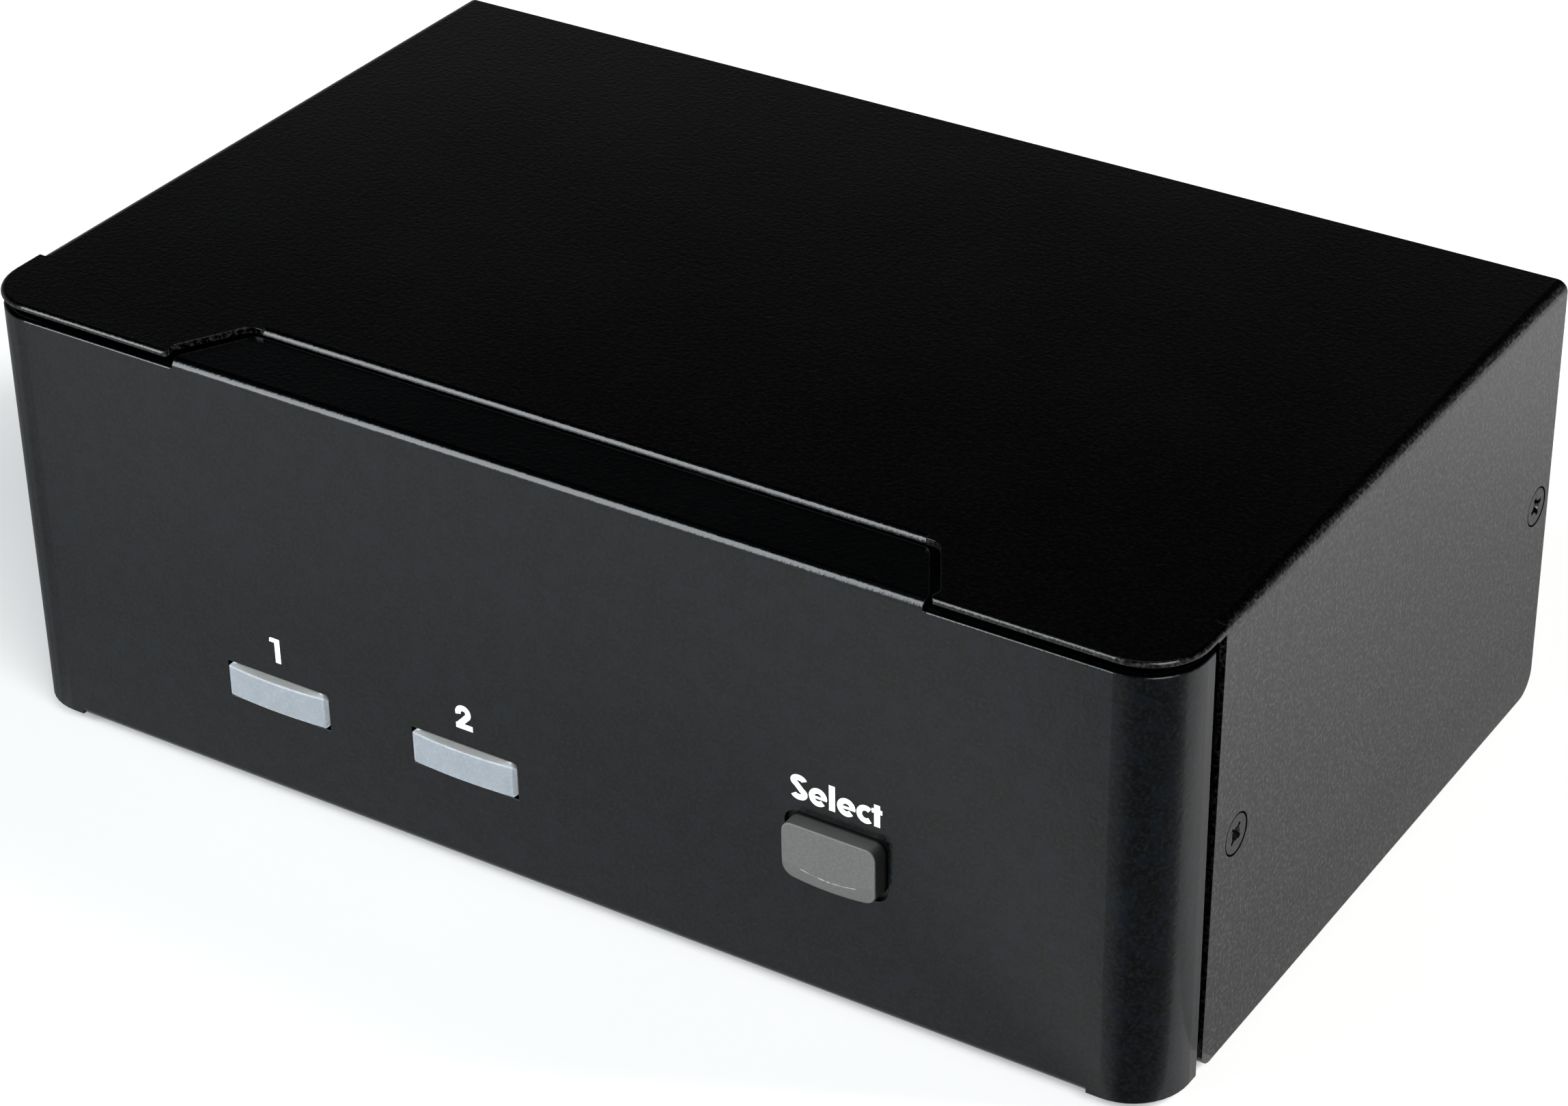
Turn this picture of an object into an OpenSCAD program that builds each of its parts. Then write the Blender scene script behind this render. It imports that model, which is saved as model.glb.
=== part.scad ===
// Two-port desktop video, keyboard and mouse switch in a folded steel case.
// Every module draws one kind of part in the case frame: X is centred, Y = 0 is the
// front panel's outer face, Z = 0 is the underside of the chassis. in_case() then moves
// it to the row frame: origin at the middle of the footprint, on the table.

/* [Case] */
// Width across the folded sides of the cover
case_w = 200; // [200:1:220]
// Depth from the front panel to the rear edge of the cover
case_d = 123; // [122:1:140]
// Height of the case without its feet
case_h = 70.8; // [68:0.2:80]
// Thickness of the sheet steel
sheet = 1; // [0.8:0.1:1.1]
// Outer radius of the front panel's upright corners
corner_r = 9; // [7:0.5:10]
// Height of the rubber feet
foot_h = 2.5; // [2:0.5:5]

/* [Cover] */
// Half the width of the notch in the cover's front edge
notch_half = 64.4; // [60:0.2:66]
// Depth of the notch
notch_depth = 12.5; // [12:0.1:14]
// Slot between the front panel and the side panel at the top
slot_top = 3; // [2:0.1:4]
// The same slot at the bottom, where it is narrower
slot_bottom = 1.6; // [1:0.1:2.5]

/* [Front controls] */
// Width of a window over the indicator lamps
window_w = 19; // [16:0.5:20]
// Height of a window
window_h = 6.3; // [5:0.1:7]
// How far a window stands out of the front panel
window_proud = 1; // [0.6:0.1:1.5]
// Width of the select button's opening
button_hole_w = 16.7; // [15:0.1:18]
// Height of that opening at its middle
button_hole_h = 11; // [9:0.1:12]
// Gap round the button in its opening
button_gap = 0.75; // [0.3:0.05:1]
// How far the button stands out at rest
button_proud = 2.2; // [1.5:0.1:3]
// Travel of the button
button_travel = 0.6; // [0.3:0.1:0.8]

/* [Boards] */
// Thickness of the circuit boards
board_t = 1.6; // [1:0.2:1.6]
// Height of the main board over the chassis floor
main_gap = 8; // [6:0.5:10]
// Clear height between the main board and the video board
stack_gap = 31.4; // [29:0.2:32]

/* [Hidden] */
$fn = 64;
arc_steps = 8;

// Sheet metal
bend_out = 1.8;
bend_in = bend_out - sheet;
chassis_bend = 1.4;
wall_top = case_h - sheet - chassis_bend;
wrap_end = 11;
lip_over = 0.3;
lip_round = 0.65;
lip_round_under = 0.33;
wrap_round = 0.35;
// The front and the cover's sides hang this far below the floor, and the wrapped corners less
skirt = 0.8;
flap_drop = 0.6;
front_turn = chassis_bend - skirt;
joggle_end = 3.2;
bottom_bend_half = 88.9;
flange_half = 62.9;
side_gap = 0.2;
tray_half = case_w / 2 - sheet - side_gap;
tray_front = 13;
tray_flange_h = 12;
corner_gap = 0.7;
shield_y = [9.5, 16];
shield_z = [3, case_h - 5.8];
rear_y = case_d - 0.6;
rear_in = rear_y - sheet;
tray_rear = rear_in - 0.2;
rear_half = tray_half - 0.2;
rear_top = case_h - 2.2;
rear_fold_half = 94;
rear_flange = 8;

// Flat-head M3 screws and where they go
head_r = 3;
sink_r = 3.25;
thread_r = 1.5;
shank_r = 1.45;
cover_screw_z = 34.5;
cover_screw_y = [19.8, case_d - 4.4];
rear_screw_x = [-70, 0, 70];
rear_screw_y = rear_in - rear_flange / 2;
boss_r = 2.6;
boss_h = 2;

// Front controls
window_x = [-48.4, -14.15];
window_z = 16.85;
window_chamfer = 0.9;
window_slope = 0.55;
window_rear = 4.2;
window_fit = 0.1;
button_x = 49.35;
button_z = 23.9;
button_bow = 0.6;
button_corner = 2.4;
button_lip = 1.3;
lip_front = sheet + 0.15;
plunger_tip = 3.2;
front_board_y = 8;
front_board_x = [-73, 75];
front_board_z = [9.5, 33];
tab_x = [-66.5, 69];
tab_half = 4.5;
tab_z = 19.5;
tab_screw_z = 15;
tab_foot = 11.8;
switch_half = 3;
switch_front = 4.5;
plunger_r = 1.7;
plunger_fit = 0.1;

// Boards
main_z = sheet + main_gap;
main_top = main_z + board_t;
video_z = main_top + stack_gap;
video_top = video_z + board_t;
board_rear = rear_in - 1.6;
main_half = 94;
main_front = 12;
video_half = 92;
video_front = 60;
post_x = 86;
post_y = [24, 66, 98];
post_hole = 1.6;

// Rear connectors: X of each, seen from the front
dvi_x = [-70, -10, 46];
vga_x = [-58, -4, 48];
usb_b_x = [18, 73];
usb_a_x = [-40, -84];
speaker_x = [-36, 18, 70];
microphone_x = [-26, 28, 80];
dc_x = 87;
shell_proud = 5.2;
flange_t = 0.8;
dvi_z = main_top + 5.9;
vga_z = video_top + 6.3;
jack_z = video_top + 5.6;
dvi_screw_pitch = 33;
vga_screw_pitch = 24.99;
hex_flats = 4.75;
hex_len = 5;
hex_bore_r = 1.15;
insert_depth = 6;
dvi_insert_w = 24;
dvi_insert_h = 8;
vga_insert_w = 16;
vga_insert_h = 7.4;
shell_wall = 0.5;
usb_a_w = 14.4;
usb_a_h = 15.6;
usb_a_depth = 17.5;
usb_slot_w = 12.6;
usb_slot_h = 5.2;
usb_b_w = 12;
usb_b_h = 10.8;
usb_b_depth = 16;
usb_proud = 0.6;
audio_r = 1.8;
audio_depth = 14;
audio_nose_r = 3.2;
audio_proud = 1.4;
dc_r = 3.1;
dc_depth = 9.5;
dc_pin_r = 1.05;
port_gap = 0.3;

// Middle of the footprint, from the button's face to the ends of the connector shells
mid_y = (rear_y + shell_proud - button_proud) / 2;

// A polygon's corners rounded with arcs; a radius of 0 leaves a corner sharp
function unit(v) = v / norm(v);
function fillet(a, b, c, r) =
    let (
        u = unit(a - b),
        w = unit(c - b),
        half = acos(u * w) / 2,
        centre = b + unit(u + w) * r / sin(half),
        from = b + u * r / tan(half) - centre,
        to = b + w * r / tan(half) - centre,
        start = atan2(from[1], from[0]),
        turn = atan2(from[0] * to[1] - from[1] * to[0], from * to)
    )
    [for (i = [0:arc_steps]) centre + r * [cos(start + turn * i / arc_steps),
                                           sin(start + turn * i / arc_steps)]];
function rounded(p, r) =
    let (n = len(p))
    [for (i = [0:n - 1]) each (r[i] == 0 ? [p[i]]
        : fillet(p[(i + n - 1) % n], p[i], p[(i + 1) % n], r[i]))];
// Right-hand points, listed from front to back or bottom to top, closed by their mirror image
function mirrored(p) = concat(p, [for (i = [len(p) - 1:-1:0]) [-p[i][0], p[i][1]]]);
function mirrored_radii(r) = concat(r, [for (i = [len(r) - 1:-1:0]) r[i]]);

// Placing and extruding
module in_case() {
    translate([0, -mid_y, foot_h]) children();
}
module block(x, y, z) {
    translate([x[0], y[0], z[0]]) cube([x[1] - x[0], y[1] - y[0], z[1] - z[0]]);
}
// The profile is drawn as [y, z]
module along_x(x) {
    translate([x[0], 0, 0]) rotate([90, 0, 90]) linear_extrude(x[1] - x[0]) children();
}
// The profile is drawn as [x, z]
module along_y(y) {
    translate([0, y[1], 0]) rotate([90, 0, 0]) linear_extrude(y[1] - y[0]) children();
}
module along_z(z) {
    translate([0, 0, z[0]]) linear_extrude(z[1] - z[0]) children();
}
module rod_y(x, z, r, y) {
    translate([x, y[0], z]) rotate([-90, 0, 0]) cylinder(h = y[1] - y[0], r = r);
}
module both_sides() {
    children();
    mirror([1, 0, 0]) children();
}
// A quarter of a ring in the lower left of its centre, as the section of a bend
module bend_section(out) {
    intersection() {
        difference() {
            circle(out);
            circle(out - sheet);
        }
        translate([-out, -out]) square(out);
    }
}
// What a rounded lower left corner takes off a sheet
module corner_waste(r) {
    difference() {
        translate([-1, -1]) square(r + 1);
        translate([r, r]) circle(r);
    }
}

// What rounds the upper outer edge of a sheet on its right: along the front from X = from,
// round the upright corner and back to Y = depth
module edge_waste(from, half, depth, top, r) {
    along_x([from, half - corner_r]) translate([0, top]) mirror([0, 1]) corner_waste(r);
    intersection() {
        translate([half - corner_r, corner_r, top]) rotate_extrude()
            translate([corner_r, 0]) mirror([1, 0]) mirror([0, 1]) corner_waste(r);
        block([half - corner_r, half + 2], [-2, corner_r], [top - 1, top + 2]);
    }
    along_y([corner_r, depth]) translate([half, top]) mirror([1, 0]) mirror([0, 1])
        corner_waste(r);
}

// A flat-head screw whose face is at Z = 0 and whose point is towards +Z
module flat_screw(length) {
    difference() {
        union() {
            cylinder(h = head_r - shank_r, r1 = head_r, r2 = shank_r);
            cylinder(h = length, r = shank_r);
        }
        cross_recess(1.5);
    }
}
module flat_screw_hole(length) {
    cylinder(h = sink_r - thread_r, r1 = sink_r, r2 = thread_r);
    cylinder(h = length, r = thread_r);
    translate([0, 0, -1]) cylinder(h = 1.001, r = sink_r);
}
// A pan-head screw that clamps at Z = 0 and points towards -Z
module pan_screw(length) {
    difference() {
        union() {
            translate([0, 0, -length]) cylinder(h = length, r = shank_r);
            cylinder(h = 1.2, r = 2.75);
            translate([0, 0, 1.2]) cylinder(h = 0.8, r1 = 2.75, r2 = 1.9);
        }
        translate([0, 0, 2]) mirror([0, 0, 1]) cross_recess(1.3);
    }
}
module cross_recess(depth) {
    for (turn = [0, 90]) {
        rotate([0, 0, turn]) translate([-1.7, -0.36, -1]) cube([3.4, 0.72, depth + 0.7]);
    }
    cylinder(h = depth, r1 = 1.1, r2 = 0.35);
}

// Cover
module cover_section() {
    inner = case_w / 2 - bend_out;
    difference() {
        union() {
            translate([-case_w / 2, -skirt]) square([case_w, case_h - bend_out + skirt]);
            translate([-inner, 0]) square([2 * inner, case_h]);
            both_sides() translate([inner, case_h - bend_out]) circle(bend_out);
        }
        translate([sheet - case_w / 2, -1]) square([case_w - 2 * sheet, case_h - bend_out + 1]);
        translate([-inner, -1]) square([2 * inner, case_h - sheet + 1]);
        both_sides() translate([inner, case_h - bend_out]) circle(bend_in);
    }
}
module cover_lip() {
    half = case_w / 2 + lip_over;
    union() {
        translate([-half, corner_r]) square([2 * half, wrap_end + slot_top - corner_r]);
        translate([corner_r - half, 0]) square([2 * (half - corner_r), corner_r + 1]);
        both_sides() translate([half - corner_r, corner_r]) circle(corner_r);
    }
}
// The notch's sides run in by 0.59 for each unit of depth, from small round tabs
notch_tab = 2.2;
notch_back = notch_half - 0.59 * (notch_depth - notch_tab);
notch_points = mirrored([
    [notch_half + 1, -1], [notch_half + 1, 0], [notch_half - 0.6, 0],
    [notch_half, notch_tab], [notch_back, notch_depth]
]);
notch_radii = mirrored_radii([0, 0, 0.8, 0.6, 2.5]);
notch_roll = 0.95 * sheet;
notch_roll_half = notch_back - 2.3;
module top_cover() {
    color([0.07, 0.07, 0.08]) in_case() difference() {
        union() {
            difference() {
                along_y([wrap_end + slot_bottom, case_d]) cover_section();
                along_x([-case_w, case_w]) polygon([
                    [0, -1], [wrap_end + slot_bottom, -1],
                    [wrap_end + slot_top, case_h - sheet], [0, case_h - sheet]
                ]);
            }
            along_z([case_h - sheet, case_h]) cover_lip();
        }
        both_sides() {
            edge_waste(0, case_w / 2 + lip_over, wrap_end + slot_top, case_h, lip_round);
            translate([0, 0, case_h - sheet]) mirror([0, 0, 1])
                edge_waste(0, case_w / 2 + lip_over, wrap_end, 0, lip_round_under);
        }
        along_z([case_h - sheet - 1, case_h + 1]) polygon(rounded(notch_points, notch_radii));
        // The edge at the back of the notch is rolled over
        along_x([-notch_roll_half, notch_roll_half]) translate([notch_depth, case_h])
            mirror([0, 1]) corner_waste(notch_roll);
        along_x([-case_w, case_w]) translate([wrap_end + slot_bottom, -skirt]) corner_waste(2.5);
        along_x([-case_w, case_w]) translate([case_d, -skirt]) mirror([1, 0]) corner_waste(4);
        cover_screw_places() flat_screw_hole(6);
    }
}
module cover_screw_places() {
    both_sides() for (y = cover_screw_y) {
        translate([case_w / 2, y, cover_screw_z]) rotate([0, -90, 0]) children();
    }
}
module cover_screws() {
    color([0.12, 0.12, 0.13]) in_case() for (side = [-1, 1], y = cover_screw_y) {
        translate([side * (case_w / 2 - 0.06), y, cover_screw_z])
            rotate([side * y * 7, 0, 0]) rotate([0, -90 * side, 0]) flat_screw(6);
    }
}

// Chassis: floor, front panel with its wrapped corners, top flange and side flanges
module front_plan() {
    difference() {
        round_front(case_w / 2, 0, corner_r);
        round_front(case_w / 2 - sheet, sheet, corner_r - sheet);
        translate([-case_w, wrap_end]) square([2 * case_w, 2 * corner_r]);
    }
}
module round_front(half, front, r) {
    translate([-half, front + r]) square([2 * half, 2 * corner_r]);
    translate([r - half, front]) square([2 * (half - r), 2 * corner_r]);
    both_sides() translate([half - r, front + r]) circle(r);
}
flange_points = mirrored([[flange_half, chassis_bend], [flange_half - 0.2, notch_tab],
                          [flange_half - 6, notch_depth - 0.5]]);
flange_radii = mirrored_radii([0, 1, 1.5]);
module folded_front() {
    along_z([front_turn, wall_top]) front_plan();
    intersection() {
        along_z([-flap_drop, front_turn]) front_plan();
        both_sides() block([bottom_bend_half, case_w], [-1, case_d], [-1, case_h]);
    }
    along_x([-bottom_bend_half, bottom_bend_half])
        translate([chassis_bend, front_turn]) bend_section(chassis_bend);
    along_x([-flange_half, flange_half])
        translate([chassis_bend, wall_top]) mirror([0, 1]) bend_section(chassis_bend);
    along_z([case_h - 2 * sheet, case_h - sheet]) polygon(rounded(flange_points, flange_radii));
}
module tray() {
    fold = tray_half - chassis_bend;
    block([-bottom_bend_half, bottom_bend_half], [chassis_bend, tray_front + 1], [0, sheet]);
    // The floor steps down a little to the bend under the front
    block([-bottom_bend_half, bottom_bend_half], [chassis_bend, joggle_end],
          [-skirt, sheet - skirt]);
    along_z([0, sheet]) intersection() {
        round_front(case_w / 2 - sheet - corner_gap, sheet + corner_gap,
                    corner_r - sheet - corner_gap);
        translate([-fold, 0]) square([2 * fold, tray_front + 1]);
    }
    block([-fold, fold], [tray_front, rear_y], [0, sheet]);
    both_sides() {
        along_y([tray_front, tray_rear])
            translate([fold, chassis_bend]) mirror([1, 0]) bend_section(chassis_bend);
        block([tray_half - sheet, tray_half], [tray_front, tray_rear],
              [chassis_bend, tray_flange_h]);
        // A tab behind the slot keeps light and fingers out
        block([tray_half - sheet, tray_half], shield_y, shield_z);
        for (y = cover_screw_y) {
            back = min(y + 7, tray_rear);
            front = max(y - 11, tray_front);
            block([tray_half - sheet, tray_half], [front, back],
                  [tray_flange_h - 1, cover_screw_z + 7]);
            translate([tray_half, y, cover_screw_z]) rotate([0, -90, 0])
                cylinder(h = sheet + boss_h, r = boss_r);
        }
    }
    // Brackets welded to the floor carry the front board
    for (x = tab_x) {
        block([x - tab_half, x + tab_half], [front_board_y - sheet, front_board_y],
              [sheet / 2, tab_z]);
        block([x - tab_half, x + tab_half], [front_board_y - sheet / 2, tab_foot],
              [sheet / 2, 2 * sheet]);
    }
}
module chassis() {
    color([0.17, 0.18, 0.2]) in_case() difference() {
        union() {
            folded_front();
            tray();
        }
        for (x = window_x) {
            block([x - window_w / 2, x + window_w / 2], [-1, sheet + 1],
                  [window_z - window_h / 2, window_z + window_h / 2]);
        }
        along_y([-1, sheet + 1]) button_outline(0);
        both_sides()
            edge_waste(flange_half + 0.5, case_w / 2, wrap_end + 1, wall_top, wrap_round);
        cover_screw_places() flat_screw_hole(8);
        for (x = rear_screw_x) {
            translate([x, rear_screw_y, 0]) flat_screw_hole(4);
        }
        for (x = tab_x) {
            rod_y(x, tab_screw_z, thread_r, [front_board_y - 3, front_board_y + 1]);
        }
        post_places(post_y) translate([0, 0, -1]) cylinder(h = 3, r = 2);
    }
}
module post_places(rows) {
    both_sides() for (y = rows) {
        translate([post_x, y, 0]) children();
    }
}

// Rear panel, folded forwards along its top and bottom
module rear_panel() {
    fold_y = rear_y - chassis_bend;
    color([0.17, 0.18, 0.2]) in_case() difference() {
        union() {
            both_sides() block([rear_fold_half, rear_half], [rear_in, rear_y],
                               [sheet + 0.2, rear_top]);
            block([-rear_fold_half, rear_fold_half], [rear_in, rear_y],
                  [sheet + chassis_bend, rear_top - chassis_bend]);
            along_x([-rear_fold_half, rear_fold_half]) translate([fold_y, sheet + chassis_bend])
                mirror([1, 0]) bend_section(chassis_bend);
            along_x([-rear_fold_half, rear_fold_half]) translate([fold_y, rear_top - chassis_bend])
                mirror([1, 0]) mirror([0, 1]) bend_section(chassis_bend);
            block([-rear_fold_half, rear_fold_half], [rear_in - rear_flange, fold_y],
                  [sheet, 2 * sheet]);
            block([-rear_fold_half, rear_fold_half], [rear_in - rear_flange, fold_y],
                  [rear_top - sheet, rear_top]);
            for (x = rear_screw_x) {
                translate([x, rear_screw_y, sheet]) cylinder(h = sheet + 1.5, r = boss_r);
            }
        }
        for (x = rear_screw_x) {
            translate([x, rear_screw_y, 0]) flat_screw_hole(6);
        }
        along_y([rear_in - 1, rear_y + 1]) rear_openings();
    }
}
module rear_openings() {
    for (x = dvi_x) {
        translate([x, dvi_z]) {
            polygon(dvi_outline(shell_wall + port_gap));
            screw_pair(dvi_screw_pitch) circle(1.7);
        }
    }
    for (x = vga_x) {
        translate([x, vga_z]) {
            polygon(vga_outline(shell_wall + port_gap));
            screw_pair(vga_screw_pitch) circle(1.7);
        }
    }
    port_window(usb_a_x[0], main_top, usb_a_w, usb_a_h);
    port_window(usb_a_x[1], video_top, usb_a_w, usb_a_h);
    for (x = usb_b_x) {
        port_window(x, main_top, usb_b_w, usb_b_h);
    }
    for (x = concat(speaker_x, microphone_x)) {
        translate([x, jack_z]) circle(audio_nose_r + port_gap);
    }
    translate([dc_x, main_top + 5.5]) circle(4.2);
}
module port_window(x, z, w, h) {
    translate([x - w / 2 - port_gap, z - port_gap]) square([w + 2 * port_gap, h + 2 * port_gap]);
}
module screw_pair(pitch) {
    for (side = [-1, 1]) {
        translate([side * pitch / 2, 0]) children();
    }
}
module rear_panel_screws() {
    color("silver") in_case() for (x = rear_screw_x) {
        translate([x, rear_screw_y, 0.06]) rotate([0, 0, x]) flat_screw(4.5);
    }
}
module rubber_feet() {
    foot_r = 6.5;
    color([0.1, 0.1, 0.1]) in_case() both_sides() for (y = [15, case_d - 17]) {
        translate([case_w / 2 - 17, y, 0]) mirror([0, 0, 1]) {
            cylinder(h = foot_h - 0.6, r = foot_r);
            translate([0, 0, foot_h - 0.6]) cylinder(h = 0.6, r1 = foot_r, r2 = foot_r - 0.8);
        }
    }
}

// Windows over the indicator lamps: a bevelled face, a lip behind the panel and a light pipe
module led_window(x) {
    half_w = window_w / 2 - window_fit;
    half_h = window_h / 2 - window_fit;
    face = half_h - window_slope;
    color([0.75, 0.78, 0.82]) in_case() translate([x, 0, window_z]) {
        intersection() {
            along_y([-window_proud, sheet]) polygon(mirrored([
                [half_w - window_chamfer, -half_h], [half_w, window_chamfer - half_h],
                [half_w, half_h - window_chamfer], [half_w - window_chamfer, half_h]
            ]));
            along_x([-window_w, window_w]) polygon([
                [-window_proud, -face], [0, -half_h], [sheet, -half_h],
                [sheet, half_h], [0, half_h], [-window_proud, face]
            ]);
            along_z([-window_h, window_h]) polygon(mirrored([
                [half_w - window_slope, -window_proud], [half_w, 0], [half_w, sheet]
            ]));
        }
        block([-half_w - 1.3, half_w + 1.3], [sheet, sheet + 1], [-half_h - 1.1, half_h + 1.1]);
        block([1 - half_w, half_w - 1], [sheet + 1, window_rear], [1 - half_h, half_h - 1]);
    }
}
module led_window_1() {
    led_window(window_x[0]);
}
module led_window_2() {
    led_window(window_x[1]);
}

// The button's outline: straight top, round corners and a bowed lower edge
module button_outline(gap) {
    half_w = button_hole_w / 2 - gap;
    top = button_hole_h / 2 - gap;
    low = gap - button_hole_h / 2;
    translate([button_x, button_z]) polygon(rounded(
        concat([for (part = [-1, -0.6, -0.4, -0.2, 0, 0.2, 0.4, 0.6, 1])
                    [part * half_w, low + button_bow * part * part]],
               [[half_w, top], [-half_w, top]]),
        [button_corner - gap / 2, 0, 0, 0, 0, 0, 0, 0, button_corner - gap / 2,
         button_corner - gap / 2 - 0.4, button_corner - gap / 2 - 0.4]
    ));
}
module select_button() {
    half_w = button_hole_w / 2 + button_lip;
    half_h = button_hole_h / 2 + button_lip;
    crease_r = 20;
    color([0.32, 0.32, 0.32]) in_case() {
        intersection() {
            along_y([-button_proud, lip_front]) button_outline(button_gap);
            translate([button_x, -button_proud, button_z - 2.9 + crease_r]) rotate([-90, 0, 0])
                cylinder(h = 10, r1 = crease_r, r2 = crease_r + 120);
        }
        block([button_x - half_w, button_x + half_w], [lip_front, lip_front + 1],
              [button_z - half_h, button_z + half_h]);
        rod_y(button_x, button_z, 2.2, [lip_front + 1, plunger_tip - 0.1]);
    }
}
module switch_plunger() {
    color([0.15, 0.15, 0.15]) in_case() {
        rod_y(button_x, button_z, plunger_r, [plunger_tip, 5.6]);
        rod_y(button_x, button_z, plunger_r + 0.6, [5.4, 6]);
    }
}
module select_switch() {
    color([0.2, 0.2, 0.2]) in_case() difference() {
        union() {
            block([button_x - switch_half, button_x + switch_half], [switch_front, front_board_y],
                  [button_z - switch_half, button_z + switch_half]);
            both_sides_of(button_x) block([button_x + switch_half, button_x + switch_half + 0.7],
                  [front_board_y - 1.2, front_board_y], [button_z - 2.6, button_z - 1.9]);
            both_sides_of(button_x) block([button_x + switch_half, button_x + switch_half + 0.7],
                  [front_board_y - 1.2, front_board_y], [button_z + 1.9, button_z + 2.6]);
        }
        rod_y(button_x, button_z, plunger_r + plunger_fit, [switch_front - 1, 5.5]);
        rod_y(button_x, button_z, plunger_r + 0.6 + plunger_fit, [5.3, 6 + button_travel + 0.3]);
    }
}
module both_sides_of(x) {
    children();
    translate([2 * x, 0, 0]) mirror([1, 0, 0]) children();
}
// A frame on the front board that the button's lip slides in
module button_guide() {
    inner_w = button_hole_w / 2 + button_lip + 0.3;
    inner_h = button_hole_h / 2 + button_lip + 0.3;
    wall = 1.2;
    color([0.9, 0.9, 0.88]) in_case() difference() {
        block([button_x - inner_w - wall, button_x + inner_w + wall],
              [sheet + 0.2, front_board_y],
              [button_z - inner_h - wall, button_z + inner_h + wall]);
        block([button_x - inner_w, button_x + inner_w], [0, front_board_y + 1],
              [button_z - inner_h, button_z + inner_h]);
    }
}
module front_board() {
    color([0.1, 0.35, 0.2]) in_case() difference() {
        block(front_board_x, [front_board_y, front_board_y + board_t], front_board_z);
        for (x = tab_x) {
            rod_y(x, tab_screw_z, post_hole, [front_board_y - 1, front_board_y + 3]);
        }
    }
}
module front_board_screws() {
    color("silver") in_case() for (x = tab_x) {
        translate([x, front_board_y + board_t, tab_screw_z]) rotate([-90, 0, 0]) pan_screw(3.6);
    }
}
module status_leds() {
    lamp_r = 1.5;
    lamp_tip = window_rear + 0.4;
    color([0.85, 0.95, 0.85]) in_case() for (x = window_x, side = [-4.5, 4.5]) {
        rod_y(x + side, window_z, lamp_r, [lamp_tip + lamp_r, front_board_y]);
        rod_y(x + side, window_z, lamp_r + 0.4, [front_board_y - 0.8, front_board_y]);
        translate([x + side, lamp_tip + lamp_r, window_z]) sphere(lamp_r);
    }
}
module board_header() {
    pins = 10;
    pitch = 2.54;
    back = front_board_y + board_t;
    color([0.12, 0.12, 0.12]) in_case() {
        block([-pins * pitch / 2, pins * pitch / 2], [main_front + 0.4, main_front + 2.9],
              [main_top, main_top + 2.5]);
        for (i = [0:pins - 1]) {
            translate([(i - (pins - 1) / 2) * pitch, 0, main_top + 1.25])
                block([-0.32, 0.32], [back, main_front + 0.4], [-0.32, 0.32]);
        }
    }
}

// Boards, posts and board screws
module insulating_sheet() {
    color([0.9, 0.9, 0.8, 0.6]) in_case() difference() {
        block([-92, 92], [tray_front + 2, rear_in - rear_flange - 1], [sheet, sheet + 0.25]);
        post_places(post_y) cylinder(h = 5, r = 3.5);
    }
}
module main_board() {
    color([0.1, 0.35, 0.2]) in_case() difference() {
        block([-main_half, main_half], [main_front, board_rear], [main_z, main_top]);
        post_places(post_y) cylinder(h = main_top + 1, r = post_hole);
    }
}
module video_board() {
    color([0.1, 0.35, 0.2]) in_case() difference() {
        block([-video_half, video_half], [video_front, board_rear], [video_z, video_top]);
        post_places([post_y[1], post_y[2]]) cylinder(h = video_top + 1, r = post_hole);
    }
}
module hex_post(z, flats) {
    translate([0, 0, z[0]]) cylinder(h = z[1] - z[0], r = flats / sqrt(3), $fn = 6);
}
module lower_standoffs() {
    color([0.75, 0.75, 0.72]) in_case() post_places(post_y) difference() {
        union() {
            hex_post([sheet, main_z], 5.5);
            translate([0, 0, 0.1]) cylinder(h = 1, r = 1.98);
        }
        translate([0, 0, 2]) cylinder(h = main_z, r = thread_r);
    }
}
module upper_standoffs() {
    color([0.8, 0.7, 0.4]) in_case() post_places([post_y[1], post_y[2]]) difference() {
        union() {
            hex_post([main_top, video_z], 5.5);
            translate([0, 0, main_z - 5]) cylinder(h = 6.7, r = shank_r);
        }
        translate([0, 0, video_z - 8]) cylinder(h = 9, r = thread_r);
    }
}
module board_screws() {
    color("silver") in_case() {
        post_places([post_y[0]]) translate([0, 0, main_top]) pan_screw(6);
        post_places([post_y[1], post_y[2]]) translate([0, 0, video_top]) pan_screw(6);
    }
}
stack_x = 26;
stack_y = [88, 94];
stack_meet = main_top + 17;
module stack_socket() {
    color([0.12, 0.12, 0.12]) in_case()
        block([-stack_x, stack_x], stack_y, [main_top, stack_meet]);
}
module stack_plug() {
    color([0.2, 0.2, 0.2]) in_case()
        block([-stack_x, stack_x], stack_y, [stack_meet, video_z]);
}

// DVI connectors: an outline with its lower corners cut more than its upper ones
function dvi_outline(grow) =
    let (w = dvi_insert_w / 2 + grow, h = dvi_insert_h / 2 + grow)
    rounded(mirrored([[w - 1.6, -h], [w, 1.6 - h], [w, h]]), mirrored_radii([0.6, 0.6, 0.8 + grow]));
module dvi_port(x) {
    color([0.72, 0.72, 0.7]) in_case() difference() {
        union() {
            block([x - 19.6, x + 19.6], [rear_in - flange_t, rear_in], [dvi_z - 5.6, dvi_z + 6.9]);
            block([x - 18, x + 18], [rear_in - 14, rear_in - flange_t],
                  [main_top, dvi_z + 6.3]);
            translate([x, 0, dvi_z]) along_y([rear_in - 1, rear_y + shell_proud])
                polygon(dvi_outline(shell_wall));
        }
        translate([x, 0, dvi_z]) along_y([rear_y + shell_proud - insert_depth, rear_y + 9])
            polygon(dvi_outline(0));
        block([x - 20, x + 20], [board_rear - 30, board_rear + 0.1], [0, main_top]);
        screw_pair_holes(x, dvi_z, dvi_screw_pitch);
    }
}
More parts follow.
